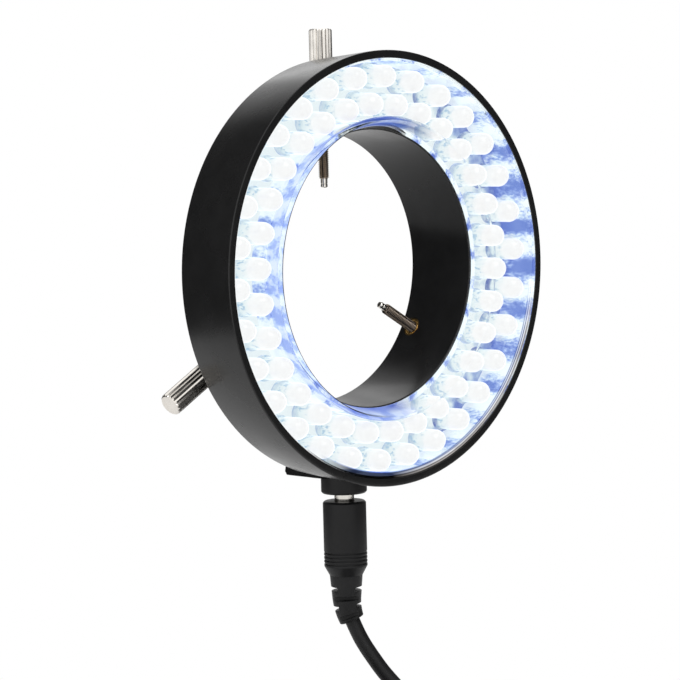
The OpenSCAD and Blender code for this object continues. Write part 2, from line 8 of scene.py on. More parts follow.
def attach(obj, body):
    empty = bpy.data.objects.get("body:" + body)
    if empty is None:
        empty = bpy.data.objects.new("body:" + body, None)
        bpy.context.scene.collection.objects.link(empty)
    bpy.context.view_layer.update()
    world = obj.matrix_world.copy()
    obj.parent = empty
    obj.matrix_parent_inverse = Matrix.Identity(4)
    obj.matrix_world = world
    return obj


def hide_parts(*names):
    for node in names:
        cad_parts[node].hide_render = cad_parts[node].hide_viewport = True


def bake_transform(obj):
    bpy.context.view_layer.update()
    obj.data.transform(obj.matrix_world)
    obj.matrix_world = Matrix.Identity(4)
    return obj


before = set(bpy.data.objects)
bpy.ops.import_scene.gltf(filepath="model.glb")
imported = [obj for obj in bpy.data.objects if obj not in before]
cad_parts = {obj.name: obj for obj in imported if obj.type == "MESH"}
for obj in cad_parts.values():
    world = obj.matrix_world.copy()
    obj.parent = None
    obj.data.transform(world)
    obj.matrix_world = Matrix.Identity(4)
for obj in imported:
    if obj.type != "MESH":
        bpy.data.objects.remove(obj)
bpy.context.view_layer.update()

scene = bpy.context.scene
scene.view_settings.view_transform = "Standard"
MM = 0.001


def add_object(name, data):
    thing = bpy.data.objects.new(name, data)
    scene.collection.objects.link(thing)
    return thing


# Camera, fitted to the photograph
LENS = 147.07
SENSOR_WIDTH = 36
NEAR_CLIP = 0.01
CAMERA_RIGHT = Vector((0.7257, -0.6876, -0.0258))
CAMERA_UP = Vector((0.0728, 0.0395, 0.9966))
CAMERA_PLACE = Vector((-436.3, -466.3, 33.5)) * MM


def add_camera():
    data = bpy.data.cameras.new("camera")
    data.lens = LENS
    data.sensor_width = SENSOR_WIDTH
    data.clip_start = NEAR_CLIP
    camera = add_object("camera", data)
    right = CAMERA_RIGHT.normalized()
    back = right.cross(CAMERA_UP).normalized()
    up = back.cross(right)
    place = Matrix((right, up, back)).transposed().to_4x4()
    place.translation = CAMERA_PLACE
    camera.matrix_world = place
    scene.camera = camera


add_camera()


# Sizes in millimetres: those of the CAD pieces are the same as in the part's source
SCREW_DEPTH = 22.0
RING_DEPTH = 17.8
TOTAL_DEPTH = 25.8
RING_R = 49.0
RING_TAPER = 1.3
RING_WALL = 1.8
BORE_R = 31.3
TUBE_R = 33.3
TUBE_FRONT = 6.5
COLLAR_R = 39.5
EDGE = 0.8
REAR_WALL = 2
SEAT_W = 1.2
RIB_W = 0.5
RIB_START = 1.0
RIB_END = 2.0
COVER_FRONT = 0.2
COVER_BACK = 1.0
COVER_FIT = 0.1
FOOT_DEPTH = 6.23
PRESS_FIT = 0.02
BOARD_DEPTH = 9.8
BOARD_BACK = 11.4
LED_R = 2.5
FLANGE_R = 2.9
FLANGE_H = 1.0
FLANGE_EDGE = 0.15
LED_H = 8.6
LED_COUNT = 30
LEAD_R = 0.25
LEAD_SPREAD = 1.27
LEAD_END = 12.6
ROWS = {"leds_inner": (37.0, -3.0), "leds_outer": (43.2, 3.0)}
SCREWS = {"top": (90, 18.25), "left": (210, 19.25), "right": (330, 19.25)}
STUD_LEN = 20.25
STUD_GRIP = 6.0
KNOB_R = 2.65
KNOB_LEN = 14.0
KNOB_EDGE = [(0.0, -0.35), (0.12, -0.2), (0.35, 0.01), (0.5, 0.1)]
KNOB_FACE = [(2.15, 0.0), (1.95, 0.05), (1.5, 0.02), (1.32, 0.07), (0.85, 0.03), (0.7, 0.08), (0.2, 0.06)]
FLUTES = 18
FLUTE_EDGE = 0.158
FLUTE_FLOOR = 0.012
FLUTE_DEPTH = 0.27
THREAD_R = 1.25
THREAD_PITCH = 0.45
THREAD_DEPTH = 0.27
TIP_LEN = 2.0
TIP_GRIP = 3.0
TIP_R = 0.8
INSERT_R = 2.3
INSERT_BORE = 1.3
INSERT_SET = 0.2
JACK_Y = -4.0
BLOCK_R = 48.5
BLOCK_SPAN = 27
BOSS_TOP_R = 47.65
BOSS_END_R = 52.0
JACK_R = 4.2
JACK_BOSS_R = 5.3
JACK_FIT = 0.1
JACK_START_R = 38.85
JACK_FLOOR_R = 42.2
JACK_BORE = 3.1
PIN_HOLE = 0.62
PLUG_FACE_R = 53.8
PLUG_R = 5.0
PLUG_LEN = 15.1
SLEEVE_R = 2.75
SLEEVE_BORE = 1.95
SLEEVE_END = -9.5
SLEEVE_ROOT = 4.0
NECK_R = 2.3
NECK_START = -2.2
GROOVES = 4
GROOVE_STEP = 0.85
GROOVE_W = 0.35
GROOVE_DEPTH = 0.25
RELIEF_START = 17.3
RELIEF_LEN = 10.6
RELIEF_STRAIGHT = 5.0
RELIEF_BEND = math.radians(22)
RELIEF_CORE = 2.05
RELIEF_R = 3.8
RELIEF_TAPER = 0.9
SLOTS = 4
SLOT_START = 3.1
SLOT_STEP = 2.1
SLOT_HALF = 0.425
CORD_D = 3.5
HEADING_DEGREES = -43.5
HEADING_ANGLE = math.radians(HEADING_DEGREES)
HEADING = Vector((math.cos(HEADING_ANGLE), math.sin(HEADING_ANGLE), 0))
ACROSS = Vector((math.sin(HEADING_ANGLE), -math.cos(HEADING_ANGLE), 0))
COIL_TURNS = 9.75
COIL_LAYERS = 4
LAYER_TURNS = COIL_TURNS / COIL_LAYERS
COIL_PITCH = 4.0
COIL_D = 37.2
COIL_OUTER = COIL_D / 2 + COIL_PITCH * LAYER_TURNS / 2
COIL_INNER = COIL_D / 2 - COIL_PITCH * LAYER_TURNS / 2
COIL_ALONG = 8
COIL_ASIDE = 24.3
COIL_DROP = 20.9
STRAP_GAP = 0.3
STRAP_T = 0.9
STRAP_W = 8
STRAP_CORNER = 1.4
STRAP_SPACE = 1
RELIEF_DROP = RELIEF_STRAIGHT + (RELIEF_LEN - RELIEF_STRAIGHT) / RELIEF_BEND * math.sin(RELIEF_BEND)
LEAD_Z = -PLUG_FACE_R - RELIEF_START - RELIEF_DROP
COIL_TOP = LEAD_Z - COIL_DROP
COIL_LOW = COIL_TOP - (COIL_LAYERS - 1) * COIL_PITCH
FLOOR_Z = COIL_LOW - CORD_D / 2 - STRAP_GAP - STRAP_SPACE
TAIL_LEN = 16.0
TIE_ANGLE = math.radians(215)


def outer_r(depth):
    return RING_R - RING_TAPER * depth / RING_DEPTH


def inner_r(depth):
    return outer_r(depth) - RING_WALL


# Frames of the part: each has its Z along the piece's axis
def turn(angle, axis):
    return Matrix.Rotation(math.radians(angle), 4, axis)


def shift(x, y, z):
    return Matrix.Translation(Vector((x, y, z)) * MM)


RIM = shift(0, -SCREW_DEPTH, 0) @ turn(-90, "X")
SOCKET = shift(0, JACK_Y, 0) @ turn(180, "X")
PLUG = SOCKET @ shift(0, 0, PLUG_FACE_R) @ turn(-HEADING_DEGREES, "Z")


def screw_frame(angle):
    return turn(-angle, "Y") @ turn(90, "Y")


# Mesh helpers: lengths in millimetres
def mesh_of(bm, name):
    mesh = bpy.data.meshes.new(name)
    bmesh.ops.recalc_face_normals(bm, faces=bm.faces)
    bm.to_mesh(mesh)
    bm.free()
    return mesh


def finish_piece(name, bm, place, body, materials, nodes, smooth=35):
    return place_mesh(name, mesh_of(bm, name), place, body, materials, nodes, smooth)


def place_mesh(name, mesh, place, body, materials, nodes, smooth):
    mesh.transform(Matrix.Scale(MM, 4))
    mesh.shade_smooth()
    mesh.set_sharp_from_angle(angle=math.radians(smooth))
    for material in materials:
        mesh.materials.append(material)
    piece = add_object(name, mesh)
    piece.matrix_world = place
    if body:
        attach(piece, body)
    if nodes:
        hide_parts(*nodes)
    return piece


def rounded(corners, steps=4):
    """Profile with its corners rounded: each corner is (r, h) or (r, h, radius)."""
    points = []
    count = len(corners)
    for i, corner in enumerate(corners):
        here = Vector(corner[:2])
        radius = corner[2] if len(corner) > 2 else 0
        before = Vector(corners[i - 1][:2]) - here
        after = Vector(corners[(i + 1) % count][:2]) - here
        if radius <= 0 or before.length < 1e-6 or after.length < 1e-6:
            points.append(here)
            continue
        angle = before.angle(after)
        if angle > math.pi - 0.02:
            points.append(here)
            continue
        reach = min(radius / math.tan(angle / 2), 0.45 * before.length, 0.45 * after.length)
        start = here + before.normalized() * reach
        end = here + after.normalized() * reach
        for k in range(steps + 1):
            t = k / steps
            points.append(start * (1 - t) ** 2 + here * 2 * t * (1 - t) + end * t * t)
    return [(p.x, p.y) for p in points]


def revolve(bm, profile, segments, start=0.0, span=360.0, index=None, closed=True):
    """Surface of revolution about Z of an (r, h) profile; index gives a face's material slot."""
    whole = span >= 360
    columns = segments if whole else segments + 1
    rings = []
    for r, h in profile:
        if r < 1e-6:
            rings.append([bm.verts.new((0, 0, h))])
            continue
        ring = []
        for k in range(columns):
            a = math.radians(start + span * k / segments)
            ring.append(bm.verts.new((r * math.cos(a), r * math.sin(a), h)))
        rings.append(ring)
    count = len(rings)
    for i in range(count if closed else count - 1):
        j = (i + 1) % count
        middle = ((profile[i][0] + profile[j][0]) / 2, (profile[i][1] + profile[j][1]) / 2)
        slot = index(*middle) if index else 0
        a, b = rings[i], rings[j]
        for k in range(segments):
            n = (k + 1) % columns
            corners = (a[k % len(a)], b[k % len(b)], b[n % len(b)], a[n % len(a)])
            corners = list(dict.fromkeys(corners))
            if len(corners) > 2:
                bm.faces.new(corners).material_index = slot
    if not whole:
        for k in (0, columns - 1):
            bm.faces.new([ring[k] for ring in rings])
    return rings


def lathe(name, corners, place, body, materials, nodes, segments, index=None):
    bm = bmesh.new()
    revolve(bm, rounded(corners), segments, index=index)
    return finish_piece(name, bm, place, body, materials, nodes)


def bridge(bm, rings, capped=True):
    """Faces between neighbouring rings of points, and over both ends when capped."""
    for a, b in zip(rings, rings[1:]):
        for k in range(len(a)):
            n = (k + 1) % len(a)
            bm.faces.new((a[k], a[n], b[n], b[k]))
    if capped:
        bm.faces.new(rings[0][::-1])
        bm.faces.new(rings[-1])


def tube_rings(bm, path, radius, sides):
    """Tube along a path of points, with frames carried along it."""
    side = None
    rings = []
    last = len(path) - 1
    spokes = [2 * math.pi * k / sides for k in range(sides)]
    for i, point in enumerate(path):
        tangent = (path[min(i + 1, last)] - path[max(i - 1, 0)]).normalized()
        if side is None:
            side = tangent.orthogonal().normalized()
        side = (side - tangent * side.dot(tangent)).normalized()
        other = tangent.cross(side)
        rings.append([
            bm.verts.new(point + side * (radius * math.cos(a)) + other * (radius * math.sin(a)))
            for a in spokes
        ])
    bridge(bm, rings)


def smooth_path(points, first, last, steps):
    """Smooth curve through the points, with the given directions at its ends."""
    slopes = [first.normalized() * (points[1] - points[0]).length]
    slopes += [(after - before) / 2 for before, after in zip(points, points[2:])]
    slopes.append(last.normalized() * (points[-1] - points[-2]).length)
    path = []
    for i in range(len(points) - 1):
        for k in range(steps):
            t = k / steps
            path.append(
                points[i] * (2 * t ** 3 - 3 * t ** 2 + 1) + slopes[i] * (t ** 3 - 2 * t ** 2 + t)
                + points[i + 1] * (3 * t ** 2 - 2 * t ** 3) + slopes[i + 1] * (t ** 3 - t ** 2)
            )
    path.append(points[-1].copy())
    return path


# Material helpers: textures take the piece's own coordinates, in metres
LATHE_LINES = 9000.0
INK = (0.0098, 0.0098, 0.01)
SHADE = (0.008, 0.008, 0.009)
CLEAR = (0.975, 0.985, 0.99)


def new_material(name, colour, roughness, metallic=0.0, **values):
    material = bpy.data.materials.new(name)
    material.use_nodes = True
    shader = material.node_tree.nodes["Principled BSDF"]
    shader.inputs["Base Color"].default_value = (*colour, 1)
    shader.inputs["Roughness"].default_value = roughness
    shader.inputs["Metallic"].default_value = metallic
    for key, value in values.items():
        shader.inputs[key.replace("_", " ").title().replace("Ior", "IOR")].default_value = value
    return material


def add_node(material, kind, values=(), **settings):
    """New node in a material or a world; each value is a number or colour, or an output to join."""
    node = material.node_tree.nodes.new(kind)
    for key, value in settings.items():
        setattr(node, key, value)
    for key, value in values:
        if isinstance(value, bpy.types.NodeSocket):
            material.node_tree.links.new(value, node.inputs[key])
        else:
            node.inputs[key].default_value = value
    return node


def own_coords(material):
    return add_node(material, "ShaderNodeTexCoord").outputs["Object"]


def coords(material, scale=(1, 1, 1)):
    values = [("Vector", own_coords(material)), ("Scale", scale)]
    return add_node(material, "ShaderNodeMapping", values).outputs["Vector"]


def noise(material, scale, detail, stretch=(1, 1, 1), blur=0.5):
    place = coords(material, stretch)
    values = [("Vector", place), ("Scale", scale), ("Detail", detail), ("Roughness", blur)]
    return add_node(material, "ShaderNodeTexNoise", values).outputs["Fac"]


def spread(material, source, low, high, start=0.3, end=0.7, kind="LINEAR"):
    """Goes from low to high as the source goes from start to end."""
    limits = [("From Min", start), ("From Max", end), ("To Min", low), ("To Max", high)]
    values = [("Value", source)] + limits
    return add_node(material, "ShaderNodeMapRange", values, interpolation_type=kind).outputs["Result"]


def fade(material, factor, low, high):
    """Goes from low to high as the factor goes from 0 to 1."""
    return spread(material, factor, low, high, 0.0, 1.0)


def rising(material, source, start, end):
    """Goes from 0 to 1 as the source goes from start to end."""
    return spread(material, source, 0.0, 1.0, start, end)


def falling(material, source, start, end):
    """Goes from 1 to 0 as the source goes from start to end."""
    return spread(material, source, 1.0, 0.0, start, end)


def math_node(material, operation, *sources, clamp=False):
    node = add_node(material, "ShaderNodeMath", enumerate(sources), operation=operation, use_clamp=clamp)
    return node.outputs["Value"]


def product(material, first, second):
    return math_node(material, "MULTIPLY", first, second)


def total(material, first, second):
    return math_node(material, "ADD", first, second)


def mixed(material, factor, first, second):
    """Colour that goes from the first to the second as the factor rises."""
    values = [("Factor", factor)]
    for key, colour in ((6, first), (7, second)):
        values.append((key, (*colour, 1) if isinstance(colour, tuple) else colour))
    return add_node(material, "ShaderNodeMix", values, data_type="RGBA").outputs[2]


def shades(material, source, stops):
    """Colour from a ramp, whose stops are places and colours."""
    node = add_node(material, "ShaderNodeValToRGB", [("Fac", source)])
    ramp = node.color_ramp
    while len(ramp.elements) < len(stops):
        ramp.elements.new(0.5)
    for element, (place, colour) in zip(ramp.elements, stops):
        element.position = place
        element.color = (*colour, 1)
    return node.outputs["Color"]


def bump(material, source, strength, distance, after=None):
    values = [("Height", source), ("Strength", strength), ("Distance", distance)]
    if after is not None:
        values.append(("Normal", after))
    return add_node(material, "ShaderNodeBump", values).outputs["Normal"]


def plug_in(material, source, socket):
    tree = material.node_tree
    tree.links.new(source, tree.nodes["Principled BSDF"].inputs[socket])


def uneven_gloss(material, scale, detail, low, high):
    plug_in(material, spread(material, noise(material, scale, detail), low, high), "Roughness")


def uneven_face(material, scale, strength, distance, after=None):
    plug_in(material, bump(material, noise(material, scale, 2.0), strength, distance, after), "Normal")


def moulded(name, colour, low, high, grain, strength, pale=1.35, **values):
    """Moulded plastic or rubber: fine spark grain, slow gloss changes and faint handling marks."""
    material = new_material(name, colour, low, **values)
    slow = noise(material, 90.0, 5.0)
    plug_in(material, spread(material, slow, low, high), "Roughness")
    worn = tuple(c * pale for c in colour)
    tint = shades(material, noise(material, 240.0, 6.0), [(0.35, colour), (0.75, worn)])
    plug_in(material, tint, "Base Color")
    fine = bump(material, noise(material, grain, 2.0), strength, 0.00006)
    plug_in(material, bump(material, slow, 0.06, 0.0004, fine), "Normal")
    return material


def turned(name, colour, low, high):
    """Turned or plated metal: lathe lines about the piece's axis, with stains and gloss changes."""
    material = new_material(name, colour, low, 1.0)
    uneven_gloss(material, 420.0, 5.0, low, high)
    stained = tuple(c * 0.8 for c in colour)
    tint = shades(material, noise(material, 260.0, 5.0), [(0.3, stained), (0.7, colour)])
    plug_in(material, tint, "Base Color")
    fine = noise(material, LATHE_LINES, 2.0, (0.02, 0.02, 1))
    plug_in(material, bump(material, fine, 0.12, 0.00002), "Normal")
    return material


# Cord: from the plug's relief down to the floor and into a coil, then to the plug at its far end
def cord_place(along, aside, z):
    return Vector((0, JACK_Y, z)) + HEADING * along + ACROSS * aside


def relief_angle(s, bend):
    return bend * max(0.0, s - RELIEF_STRAIGHT) / (RELIEF_LEN - RELIEF_STRAIGHT)


def relief_point(s, bend):
    if s <= RELIEF_STRAIGHT or bend == 0:
        return Vector((0, 0, s))
    r = (RELIEF_LEN - RELIEF_STRAIGHT) / bend
    a = relief_angle(s, bend)
    return Vector((r * (1 - math.cos(a)), 0, RELIEF_STRAIGHT + r * math.sin(a)))


def ease(t):
    u = min(1.0, max(0.0, t))
    return u * u * (3 - 2 * u)


COIL_MIDDLE = cord_place(COIL_ALONG, COIL_ASIDE, 0)


def coil_point(turns):
    part = (turns / LAYER_TURNS) % 2
    part = part if part < 1 else 2 - part
    r = COIL_OUTER - (COIL_OUTER - COIL_INNER) * part
    drop = sum(ease((turns - i * LAYER_TURNS) * 2 + 0.5) for i in range(1, COIL_LAYERS))
    a = -2 * math.pi * turns
    z = COIL_TOP - COIL_PITCH * drop
    return Vector((COIL_MIDDLE.x + r * math.cos(a), COIL_MIDDLE.y + r * math.sin(a), z))


def cord_route():
    tip = relief_point(RELIEF_LEN, RELIEF_BEND)
    start = cord_place(tip.x, 0, LEAD_Z)
    leaving = HEADING * math.sin(RELIEF_BEND) - Vector((0, 0, math.cos(RELIEF_BEND)))
    entry = Vector((COIL_MIDDLE.x + COIL_OUTER, COIL_MIDDLE.y, COIL_TOP))
    inward = Vector((0, -1, 0))
    shown = [
        (3.2, 0, 4.85), (6.0, 0, 9.45), (8.7, 0, 13.25), (12.6, 0.3, 17.55),
        (15.7, 1.1, 19.45), (18.5, 2.4, 20.55), (21.1, 4.2, 20.85),
    ]
    lead = [start] + [cord_place(x, y, LEAD_Z - drop) for x, y, drop in shown] + [entry - inward * CORD_D]
    path = smooth_path(lead, leaving, inward, 6)
    steps = int(COIL_TURNS * 32)
    path += [coil_point(COIL_TURNS * k / steps) for k in range(steps + 1)]
    outward = Vector((1, 0, 0))
    tail = path[-1] + outward * CORD_D
    axis_z = FLOOR_Z + PLUG_R
    points = [
        tail,
        tail + outward * TAIL_LEN * 0.3 + Vector((0, 0, 0.3)),
        tail + outward * TAIL_LEN * 0.7 + Vector((0, 0, axis_z - tail.z - 0.3)),
        Vector((tail.x + TAIL_LEN, tail.y, axis_z)),
    ]
    path += smooth_path(points, outward, outward, 5)
    return start, path, points[-1]


CORD_EXIT, CORD_PATH, CORD_END = cord_route()
FAR_FACE = CORD_END + Vector((RELIEF_START + RELIEF_LEN, 0, 0))
FAR = shift(*FAR_FACE) @ turn(-90, "Y")

rubber = moulded("cord_skin", (0.01, 0.01, 0.0105), 0.38, 0.52, 1800.0, 0.1, specular_ior_level=0.3)


def add_cord():
    bm = bmesh.new()
    tube_rings(bm, CORD_PATH, CORD_D / 2, 14)
    cord = finish_piece("cord", bm, Matrix.Identity(4), None, [rubber], (), 60)
    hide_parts("cord_lead", "cord_coil", "cord_tail")
    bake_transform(cord)
    return cord


cord = add_cord()


# Materials
black = moulded("black_plastic", INK, 0.22, 0.31, 3200.0, 0.07, specular_ior_level=0.36)
socket_plastic = moulded(
    "socket_plastic", (0.0075, 0.0075, 0.008), 0.36, 0.48, 2800.0, 0.1, specular_ior_level=0.26,
)
plug_rubber = moulded(
    "plug_rubber", (0.0095, 0.0095, 0.01), 0.4, 0.52, 2400.0, 0.12, specular_ior_level=0.26,
)
nickel = turned("nickel", (0.88, 0.84, 0.78), 0.08, 0.16)
# Painted light: the top screw's knob and stud take lighter copies of the nickel and the thread steel, and
# its knob is satin.
satin_painted_light_nickel = turned("satin_painted_light_nickel", (0.97, 0.93, 0.87), 0.2, 0.34)
steel = turned("thread_steel", (0.19, 0.155, 0.125), 0.14, 0.26)
painted_light_steel = turned("painted_light_thread_steel", (0.44, 0.37, 0.3), 0.12, 0.22)
brass = turned("brass", (0.86, 0.56, 0.2), 0.12, 0.24)
contact_metal = turned("contact_metal", (0.78, 0.76, 0.72), 0.14, 0.26)


def own_place(material):
    """The piece's own X, Y and Z."""
    return add_node(material, "ShaderNodeSeparateXYZ", [("Vector", own_coords(material))]).outputs


def own_angle(material, place):
    """Angle about the ring's axis, on a piece that lies in the ring's frame."""
    return math_node(material, "ARCTAN2", place["Y"], place["X"])


def own_reach(material, across):
    """Distance from an axis, or from the middle: across has a 1 for each direction that counts."""
    values = [(0, own_coords(material)), (1, across)]
    flat = add_node(material, "ShaderNodeVectorMath", values, operation="MULTIPLY")
    values = [(0, flat.outputs["Vector"])]
    return add_node(material, "ShaderNodeVectorMath", values, operation="LENGTH").outputs["Value"]


def led_light(material, angle, phase, share):
    """Light that a row of LEDs throws beside it: strong next to an LED, weak between two, and uneven."""
    turns = math_node(material, "MULTIPLY_ADD", angle, LED_COUNT, math.radians(LED_COUNT * phase))
    wave = math_node(material, "COSINE", turns)
    even = spread(material, wave, share / 2, 1 - share / 2, -1, 1)
    uneven = spread(material, noise(material, 420.0, 5.0, (1, 1, 0.4), 0.6), -share, share)
    return total(material, even, uneven)


def side_of_ring(material, angle, degrees, low, high):
    """Full near one angle of the ring, from +X towards +Z, and nothing away from it, between two cosines."""
    turned_by = total(material, angle, math.radians(degrees))
    return rising(material, math_node(material, "COSINE", turned_by), low, high)


def bore_wall():
    """Wall of the bore: black, with a faint shine of the LEDs at the top and less gloss at the bottom."""
    values = {"specular_ior_level": 0.17, "emission_color": (1.0, 0.97, 0.97, 1)}
    material = moulded("bore_plastic", INK, 0.2, 0.28, 3200.0, 0.05, **values)
    place = own_place(material)
    angle = own_angle(material, place)
    edge = spread(material, place["Z"], 0.085, 0.03, TUBE_FRONT * MM, TOTAL_DEPTH * MM)
    shine = product(material, edge, side_of_ring(material, angle, 96, 0.85, 1.0))
    gloss = fade(material, side_of_ring(material, angle, -95, 0.7, 0.95), 0.17, 0.11)
    plug_in(material, gloss, "Specular IOR Level")
    plug_in(material, shine, "Emission Strength")
    return material


def lit_wall(name, phase):
    """Wall beside a row of LEDs: glossy, with their light painted in its colour and glow, blue and weak
    between them and weaker towards +X, and painted shade at the front edge near the bottom.
    """
    material = new_material(name, (0.72, 0.78, 0.95), 0.12, 0.7)
    place = own_place(material)
    angle = own_angle(material, place)
    light = led_light(material, angle, phase, 0.34)
    lean = math_node(material, "MULTIPLY_ADD", place["Y"], -0.1, place["X"])
    light = total(material, light, spread(material, lean, 0.3, 0.0, 30 * MM, 46 * MM))
    uneven_gloss(material, 500.0, 3.0, 0.08, 0.18)
    # Painted light made uneven by fine streaks.
    grain = spread(material, noise(material, 1900.0, 3.0, (1, 1, 0.5)), -0.16, 0.16)
    light = total(material, light, grain)
    tint = shades(material, light, [
        (0.25, (0.1, 0.14, 0.3)), (0.5, (0.24, 0.29, 0.42)), (0.75, (0.34, 0.37, 0.4)),
    ])
    # Painted shade: the front edge near the bottom of the ring turns black and loses its glow.
    lip = falling(material, place["Z"], 1.0 * MM, 1.3 * MM)
    front = product(material, lip, side_of_ring(material, angle, -88, 0.6, 0.85))
    plug_in(material, mixed(material, front, tint, (0.01, 0.01, 0.01)), "Base Color")
    glow = shades(material, light, [
        (0.2, (0.14, 0.21, 0.54)), (0.42, (0.25, 0.34, 0.66)),
        (0.6, (0.56, 0.67, 0.78)), (0.78, (0.8, 0.86, 0.86)),
    ])
    plug_in(material, glow, "Emission Color")
    plug_in(material, fade(material, front, 0.8, 0.0), "Emission Strength")
    rubbed = bump(material, noise(material, 700.0, 3.0, (1, 1, 0.15)), 0.3, 0.0002)
    uneven_face(material, 260.0, 0.1, 0.0006, rubbed)
    return material


def lit_skirt():
    """Skirt of the cover: clear, and towards -X blue with painted scattered LED light, with painted shade in
    deeper blue bands, a dark line at the front edge and a dark crescent at the foot near the top.
    """
    material = new_material("lit_skirt", (0.88, 0.92, 0.98), 0.1, ior=1.06)
    place = own_place(material)
    angle = own_angle(material, place)
    depth = place["Z"]
    # Painted LED light: blue and glowing towards -X, clear towards +X.
    blue = falling(material, place["X"], 0.0, 9 * MM)
    light = led_light(material, angle, ROWS["leds_inner"][1], 0.55)
    glow = shades(material, light, [
        (0.2, (0.26, 0.35, 0.7)), (0.5, (0.46, 0.56, 0.8)), (0.8, (0.68, 0.77, 0.86)),
    ])
    pale = shades(material, light, [
        (0.3, (0.3, 0.4, 0.78)), (0.5, (0.66, 0.8, 0.96)), (0.7, (0.95, 1.0, 1.0)),
    ])
    glow = mixed(material, spread(material, place["X"], 0.85, 0.0, -27 * MM, -19 * MM), glow, pale)
    # Painted shade: a dark line along the front edge towards -X.
    front = falling(material, depth, 0.8 * MM, 1.1 * MM)
    lip = product(material, front, falling(material, place["X"], -12 * MM, 0.0))
    # Painted shade: deeper blue at the back near the bottom and in the middle near the top.
    back = spread(material, depth, 0.0, 0.9, 2 * MM, 5.5 * MM)
    foot = product(material, back, side_of_ring(material, angle, -97, 0.88, 0.98))
    middle = product(
        material, rising(material, depth, 1 * MM, 2 * MM), falling(material, depth, 3.6 * MM, 4.6 * MM),
    )
    middle = product(material, middle, side_of_ring(material, angle, 97, 0.8, 0.95))
    strong = total(material, foot, middle)
    plug_in(material, mixed(material, strong, glow, (0.09, 0.16, 0.55)), "Emission Color")
    # Painted shade: black at the foot, reaching further forward near the top.
    nearer = fade(material, side_of_ring(material, angle, 90, 0.93, 1.0), 0.0, 2.4 * MM)
    shaded = rising(material, total(material, depth, nearer), 6.6 * MM, 6.8 * MM)
    shaded = math_node(material, "MAXIMUM", shaded, lip)
    lit = falling(material, shaded, 0.0, 1.0)
    plug_in(material, product(material, fade(material, blue, 0.0, 0.6), lit), "Emission Strength")
    plug_in(material, product(material, fade(material, blue, 0.98, 0.3), lit), "Transmission Weight")
    tint = shades(material, blue, [(0.0, (0.985, 0.99, 0.99)), (1.0, (0.22, 0.28, 0.46))])
    tint = mixed(material, strong, tint, (0.05, 0.09, 0.32))
    plug_in(material, mixed(material, shaded, tint, SHADE), "Base Color")
    gloss = product(material, blue, spread(material, noise(material, 300.0, 3.0), 0.04, 0.2))
    plug_in(material, total(material, gloss, 0.03), "Roughness")
    uneven_face(material, 120.0, 0.05, 0.0004)
    return material


def skirt_end():
    """Foot of the skirt: dark with the tube behind it, and blue on the side where light comes through."""
    material = new_material("skirt_end", (0.01, 0.01, 0.01), 0.25)
    lit = falling(material, own_place(material)["X"], -12 * MM, 0.0)
    plug_in(material, mixed(material, lit, INK, (0.3, 0.38, 0.6)), "Base Color")
    uneven_gloss(material, 300.0, 3.0, 0.2, 0.32)
    return material


def clear_plastic():
    """Front of the cover; near the lower right its polished outer edge has painted highlight lines in its
    glow, over painted shade with a blue line of painted LED light in its colour.
    """
    material = new_material("clear_plastic", CLEAR, 0.03, ior=1.18, transmission_weight=1.0)
    angle = own_angle(material, own_place(material))
    across = rising(material, own_reach(material, (1, 1, 0)), 45.6 * MM, 47.2 * MM)
    # Painted highlight: bright, dark and grey lines across the outer edge.
    lines = shades(material, across, [
        (0.22, (0, 0, 0)), (0.34, (0.7, 0.72, 0.74)), (0.5, (0.66, 0.66, 0.66)), (0.58, (0.0, 0.0, 0.0)),
        (0.68, (0.34, 0.32, 0.3)), (0.9, (0.3, 0.28, 0.26)), (1.0, (0.02, 0.02, 0.02)),
    ])
    plug_in(material, lines, "Emission Color")
    facing = side_of_ring(material, angle, -48, 0.72, 0.88)
    edge = side_of_ring(material, angle, -64, 0.55, 0.72)
    uneven = spread(material, noise(material, 160.0, 4.0), 0.75, 1.1)
    plug_in(material, product(material, facing, uneven), "Emission Strength")
    # Painted shade: the outer edge turns dark, after a thin blue line of painted LED light.
    seen = shades(material, across, [
        (0.0, CLEAR), (0.06, (0.4, 0.5, 0.85)), (0.2, (0.06, 0.07, 0.12)), (1.0, (0.02, 0.02, 0.02)),
    ])
    plug_in(material, mixed(material, edge, CLEAR, seen), "Base Color")
    uneven_gloss(material, 130.0, 4.0, 0.015, 0.06)
    uneven_face(material, 60.0, 0.03, 0.0004)
    return material


